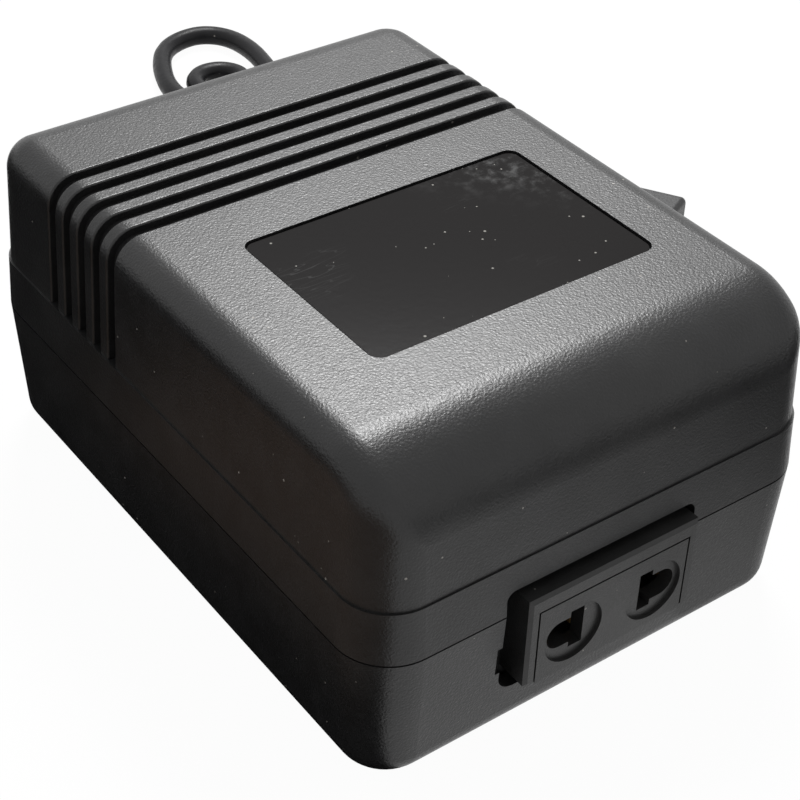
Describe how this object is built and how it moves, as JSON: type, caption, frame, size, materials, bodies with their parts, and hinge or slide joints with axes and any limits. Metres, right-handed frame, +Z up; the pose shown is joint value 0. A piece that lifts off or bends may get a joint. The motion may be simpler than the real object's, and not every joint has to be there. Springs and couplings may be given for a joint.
{
  "type": "travel voltage converter",
  "caption": "Black moulded step-down converter with a two-pin outlet, a grooved cover, a bare plate and a tied mains cord with a flat-blade plug.",
  "frame": {"origin": "centre of the case's footprint on the surface that it stands on", "axes": "+Z up, the outlet faces -Y, the cord leaves towards +Y, +X to the right seen from the outlet side"},
  "size_m": [0.1265, 0.2094, 0.0536],
  "materials": {
    "case_plastic": "fine spark-eroded grain",
    "plate_black": "semi-gloss, lightly worn",
    "outlet_plastic": "smooth satin",
    "contact_brass": "bright",
    "core_steel": "varnished laminations",
    "bobbin_nylon": "moulded",
    "winding_copper": "enamelled copper wire",
    "tape_yellow": "polyester tape",
    "screw_steel": "zinc plated",
    "fuse_white": "ceramic sleeve",
    "wire_insulation": "pvc",
    "cord_pvc": "smooth pvc",
    "plug_pvc": "satin pvc",
    "blade_brass": "nickel plated",
    "tie_nylon": "smooth"
  },
  "bodies": {
    "root": {"upper_shell": "case_plastic", "lower_shell": "case_plastic", "rating_plate": "plate_black", "case_screws": "screw_steel", "socket_frame": "outlet_plastic", "socket_face": "outlet_plastic", "contact_left": "contact_brass", "contact_right": "contact_brass", "socket_back": "outlet_plastic", "core_e": "core_steel", "core_i": "core_steel", "core_washers": "screw_steel", "core_screws": "screw_steel", "bobbin": "bobbin_nylon", "primary_winding": "winding_copper", "secondary_winding": "winding_copper", "winding_tape": "tape_yellow", "terminals": "contact_brass", "thermal_fuse": "fuse_white", "strain_relief": "plug_pvc", "input_wires": "wire_insulation", "output_wires": "wire_insulation", "plug_body": "plug_pvc", "plug_blades": "blade_brass", "cord_lead": "cord_pvc", "cord_hank": "cord_pvc", "cord_tail": "cord_pvc", "cable_tie": "tie_nylon"}
  },
  "joints": []
}
